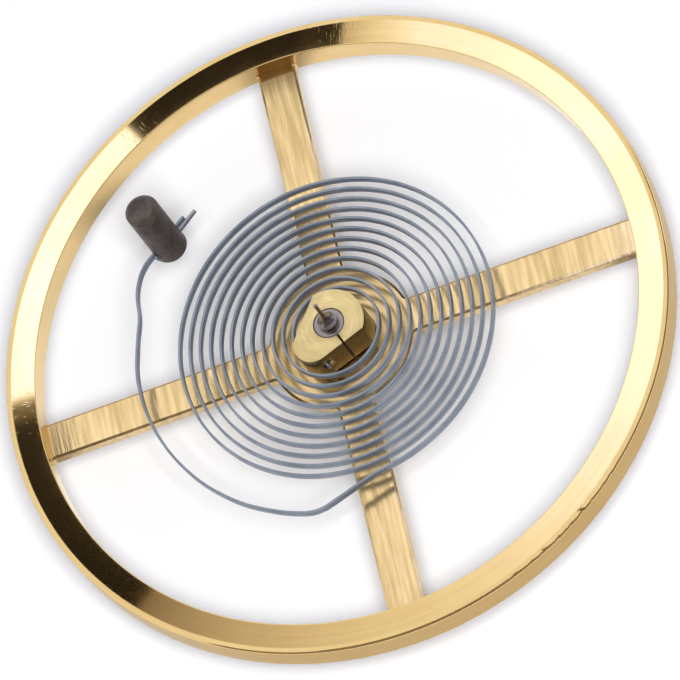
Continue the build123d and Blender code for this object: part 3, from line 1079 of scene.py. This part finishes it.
def strip_tree():
    tree = Tree("strip_along_its_line", Height=STRIP_HEIGHT, Thickness=STRIP_THICKNESS, Corner=STRIP_CORNER)
    given = tree.given
    line = tree.node("GeometryNodeMeshToCurve", {"Mesh": given["Geometry"]})
    share = tree.node("GeometryNodeSplineParameter")
    keep = tree.node("GeometryNodeStoreNamedAttribute", {"Geometry": line, "Name": "share", "Value": share},
                     data_type="FLOAT", domain="POINT")
    upright = tree.node("GeometryNodeSetCurveNormal", {"Curve": keep}, mode="Z_UP")
    section = tree.node("GeometryNodeCurvePrimitiveQuadrilateral",
                        {"Width": given["Thickness"], "Height": given["Height"]})
    soften = tree.node("GeometryNodeFilletCurve",
                       {"Curve": section, "Radius": given["Corner"], "Count": STRIP_CORNER_STEPS},
                       mode="POLY")
    return tree.end(tree.node("GeometryNodeCurveToMesh",
                              {"Curve": upright, "Profile Curve": soften, "Fill Caps": True}))


strip = new_object("hairspring_strip", strip_line, [])
strip.data.edges.add(len(strip_line) - 1)
strip.data.edges.foreach_set("vertices", [k for i in range(len(strip_line) - 1) for k in (i, i + 1)])
strip_tree().run(strip, blued_steel)
in_metres(strip)

# %% [markdown]
# ### How the spring moves
#
# When the wheel swings, the outer end of the spring stands still in the stud and the inner end
# turns with the collet, and every point between turns by its share of the strip's length, as a
# real spiral spring winds. The node tree kept that share in an attribute, and it is read back here.

# %% The strip bends between stud and balance


shares = [0.0] * len(strip.data.vertices)
strip.data.attributes["share"].data.foreach_get("value", shares)
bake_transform(strip)
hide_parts("hairspring")

# %% [markdown]
# ## The pins
#
# A tapered pin wedges the strip in the collet's hole, and another in the stud's. The holes and
# the strip set their size: a pin fills what the strip leaves of the hole. The stud's pin was
# left long, and shows in the photograph.

# %% Pins
PIN_RADIUS = 0.0794
PIN_OFFSET = PIN_RADIUS - PIN_HOLE_RADIUS
PIN_TIP_SHARE = 0.7
PIN_SOFTNESS = 0.03
PIN_STEPS = 32
COLLET_PIN_HEAD = 0.06
STUD_PIN_HEAD = 0.05
STUD_PIN_STAND_OUT = 0.60


def drawn_marks(graph):
    return graph.place((25 / MM,) * 3)


pin_brass = metal("pin_brass", (0.88, 0.75, 0.46), (0.76, 0.62, 0.34), (0.25, 0.4), drawn_marks, 0.0015)
pin_steel = metal("pin_steel", (0.42, 0.42, 0.46), (0.27, 0.27, 0.30), (0.25, 0.4), drawn_marks, 0.0015)


def taper_pin(name, head, direction, length):
    return rod(name, head, head + direction * length, PIN_RADIUS, PIN_RADIUS * PIN_TIP_SHARE,
               soft=PIN_SOFTNESS, steps=PIN_STEPS)


pin_line = hole_middle + polar(PIN_OFFSET, LOBE_ANGLE)
finished(taper_pin("collet_pin_brass", pin_line + along_hole * (LOBE_RADIUS + COLLET_PIN_HEAD), -along_hole,
                   2 * LOBE_RADIUS + COLLET_PIN_HEAD), pin_brass, "balance", "pin_brass", "collet_pin")

stud_pin_line = stud_middle + polar(PIN_OFFSET, STUD_HEADING + pi / 2)
finished(taper_pin("stud_pin_steel", stud_pin_line - along_stud * (STUD_FOOT_RADIUS + STUD_PIN_HEAD),
                   along_stud, 2 * STUD_FOOT_RADIUS + STUD_PIN_HEAD + STUD_PIN_STAND_OUT),
         pin_steel, "stud", "pin_steel", "stud_pin")

# %% [markdown]
# ## The stud
#
# The stud is the fixed end of the spring, a short round post that the balance cock clamps. It
# widens a little at its foot, where the cross hole goes through. It is turned, and the
# hole is cut from it like the collet's.

# %% Stud
STUD_BELOW_STRIP = 0.33
STUD_HEIGHT = 2.33
STUD_LOW = LEVEL_STRIP - STUD_BELOW_STRIP
STUD_HIGH = STUD_LOW + STUD_HEIGHT
STUD_EDGE = 0.12
STUD_SHOULDER = 0.06
STUD_SOFTNESS = 0.05
STUD_STEPS = 128

stud_steel = metal("stud_steel", (0.105, 0.08, 0.07), (0.055, 0.042, 0.038), (0.38, 0.6),
                   lambda g: turned_place(g, 12, 3, stud_middle), 0.003, stain=2.0, metallic=0.5)


def stud_post():
    outline = [
        (0, STUD_LOW), (STUD_FOOT_RADIUS - STUD_EDGE, STUD_LOW), (STUD_FOOT_RADIUS, STUD_LOW + STUD_EDGE),
        (STUD_POST_RADIUS, LEVEL_STRIP + PIN_HOLE_RADIUS + STUD_SHOULDER),
        (STUD_POST_RADIUS, STUD_HIGH - STUD_EDGE), (STUD_POST_RADIUS - STUD_EDGE, STUD_HIGH), (0, STUD_HIGH),
    ]
    post = turned("stud_post_steel", rounded(outline, STUD_SOFTNESS), steps=STUD_STEPS)
    post.data.transform(Matrix.Translation((stud_middle.x, stud_middle.y, 0)))
    return combined(post, cross_hole("stud_hole", stud_middle, along_stud), "DIFFERENCE")


finished(stud_post(), stud_steel, "stud", "stud_steel", "stud")

# %% [markdown]
# ## The rollers and the jewel
#
# Under the wheel sit two steel rollers. The large one carries the impulse jewel, a ruby pin
# with a D section, which takes a push from the lever at each swing. The small one has a
# hollow that lets the guard pin pass. The photograph doesn't show them, so they follow the
# common form. They are turned, and then the jewel's hole and the hollow are cut.

# %% Rollers
LEVEL_DISC = 1.49
LEVEL_ROLLER_HUB = 1.19
LEVEL_SAFETY = 0.94
DISC_RADIUS = 1.45
ROLLER_HUB_RADIUS = 0.42
SAFETY_RADIUS = 0.78
ROLLER_BEVEL = 0.03
ROLLER_SOFTNESS = 0.015
HOLLOW_DISTANCE = 0.90
HOLLOW_RADIUS = 0.26
HOLLOW_HEIGHT = 2
JEWEL_RADIUS = 0.16
JEWEL_FLAT_SHARE = 0.65
JEWEL_FLAT = JEWEL_FLAT_SHARE * JEWEL_RADIUS
JEWEL_DISTANCE = 1.12
JEWEL_ANGLE = radians(135)
JEWEL_LENGTH = 0.72
JEWEL_HOLE_ENDS = (1, 2)
JEWEL_CLEARANCE = 0.003
JEWEL_EDGE = 0.01
JEWEL_STEPS = 40

roller_steel = metal("roller_steel", (0.62, 0.61, 0.62), (0.48, 0.47, 0.49), (0.12, 0.25),
                     lambda g: turned_place(g, 22, 2), 0.001, anisotropy=0.4)


def jewel_outline(inset):
    """The jewel's D section; its flat faces away from the staff."""
    radius, flat = JEWEL_RADIUS - inset, JEWEL_FLAT - inset
    turn, middle = acos(flat / radius), polar(JEWEL_DISTANCE, JEWEL_ANGLE)
    return arc(middle, radius, JEWEL_ANGLE + turn, JEWEL_ANGLE + 2 * pi - turn, JEWEL_STEPS)


def turned_ring(name, outline):
    return turned(name, rounded(outline, ROLLER_SOFTNESS, closed=True), closed=True)


def impulse_roller():
    disc_edge = DISC_RADIUS - ROLLER_BEVEL
    disc = turned_ring("impulse_roller_steel", [
        (ROLLER_SEAT_RADIUS, LEVEL_ROLLER_HUB), (ROLLER_HUB_RADIUS, LEVEL_ROLLER_HUB),
        (ROLLER_HUB_RADIUS, LEVEL_DISC), (disc_edge, LEVEL_DISC), (DISC_RADIUS, LEVEL_DISC + ROLLER_BEVEL),
        (DISC_RADIUS, LEVEL_FLANGE - ROLLER_BEVEL), (disc_edge, LEVEL_FLANGE),
        (ROLLER_SEAT_RADIUS, LEVEL_FLANGE)])
    hole = prism("jewel_hole", jewel_outline(0), *JEWEL_HOLE_ENDS)
    return combined(disc, hole, "DIFFERENCE")


def safety_roller():
    disc = turned_ring("safety_roller_steel", [
        (ROLLER_SEAT_RADIUS, LEVEL_SAFETY), (SAFETY_RADIUS, LEVEL_SAFETY), (SAFETY_RADIUS, LEVEL_ROLLER_HUB),
        (ROLLER_SEAT_RADIUS, LEVEL_ROLLER_HUB)])
    hollow = polar(HOLLOW_DISTANCE, JEWEL_ANGLE)
    return combined(disc, rod("hollow", hollow, hollow + Vector((0, 0, HOLLOW_HEIGHT)), HOLLOW_RADIUS),
                    "DIFFERENCE")


finished(impulse_roller(), roller_steel, "balance", "roller_steel", "impulse_roller")
finished(safety_roller(), roller_steel, "balance", "roller_steel", "safety_roller")

# %% Impulse jewel


def ruby_material():
    material, graph, principled = shader("ruby", (0.6, 0.03, 0.08), 0.06, metallic=0)
    cloud = graph.noise(graph.place((4 / MM,) * 3))
    graph.put(principled, {
        "IOR": 1.76, "Transmission Weight": 0.7,
        "Base Color": graph.tinted(graph.spread(cloud, 0, 1), (0.66, 0.03, 0.09), (0.48, 0.02, 0.06))})
    return material


jewel = prism("impulse_jewel_ruby", jewel_outline(JEWEL_CLEARANCE),
              LEVEL_FLANGE - JEWEL_LENGTH + JEWEL_CLEARANCE, LEVEL_FLANGE - JEWEL_CLEARANCE)
finished(bevelled(jewel, JEWEL_EDGE), ruby_material(), "balance", "ruby", "impulse_jewel")
